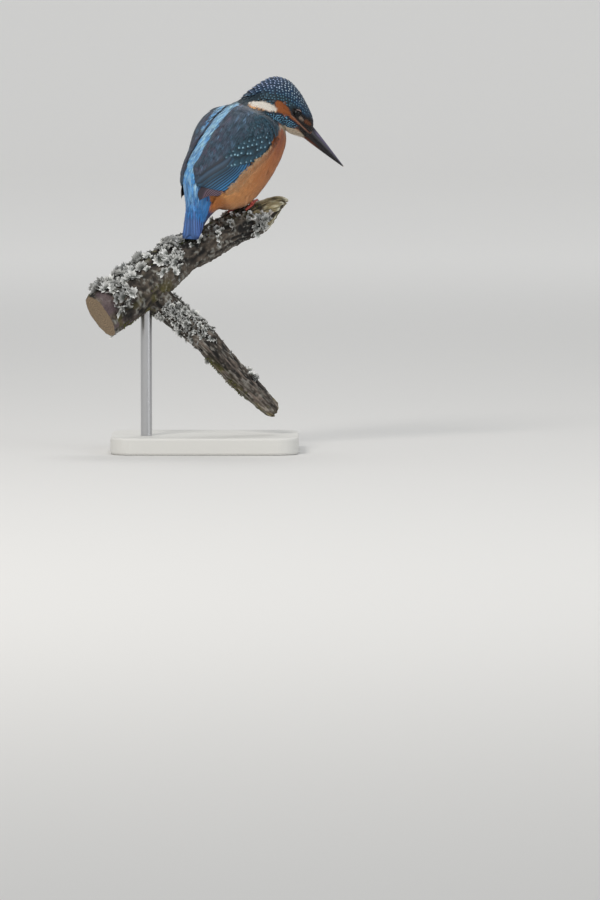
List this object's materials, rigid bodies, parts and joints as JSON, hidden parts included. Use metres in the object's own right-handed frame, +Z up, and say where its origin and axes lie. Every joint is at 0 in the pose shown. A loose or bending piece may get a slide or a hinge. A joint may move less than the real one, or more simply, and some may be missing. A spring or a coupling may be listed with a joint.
{
  "type": "perched common kingfisher, museum model",
  "caption": "Life-size common kingfisher perched on a cut length of lichened branch, head turned over the right shoulder and bill pointing down, on a rod-and-plate display stand.",
  "frame": {"origin": "centre of the underside of the stand's base plate", "axes": "+Z up; +X along the base's long side, towards the side the bill points to; -Y towards the viewer, the side where the bird shows its back, right wing and turned head"},
  "size_m": [0.1811, 0.092, 0.2629],
  "materials": {
    "crown_plumage": "dark blue-green feathers with pale azure spots",
    "body_plumage": "soft orange-rust feathers, azure down the back",
    "wing_plumage": "teal and slate-blue feathers with pale blue tips",
    "tail_plumage": "blue feathers with a soft sheen",
    "primary_plumage": "dark purplish brown feathers",
    "bill_horn": "smooth dark horn with a faint grey sheen",
    "bill_mandible": "dark horn, reddish brown at the base",
    "eye": "wet and near black",
    "foot_skin": "red skin with fine scales",
    "bark": "rough dark bark with grey lichen and moss",
    "stand_rod_steel": "satin",
    "stand_base_plastic": "matte off-white"
  },
  "bodies": {
    "root": {"perch_branch": "bark", "perch_twig": "bark", "stand_base": "stand_base_plastic", "stand_rod": "stand_rod_steel", "tail": "tail_plumage", "trunk": "body_plumage", "neck": "body_plumage", "head": "crown_plumage", "bill_upper": "bill_horn", "bill_lower": "bill_mandible", "eye_right": "eye", "eye_left": "eye", "wing_right": "wing_plumage", "wing_left": "wing_plumage", "primaries_right": "primary_plumage", "primaries_left": "primary_plumage", "foot_right": "foot_skin", "foot_left": "foot_skin", "leg_right": "foot_skin", "leg_left": "foot_skin"}
  },
  "joints": []
}
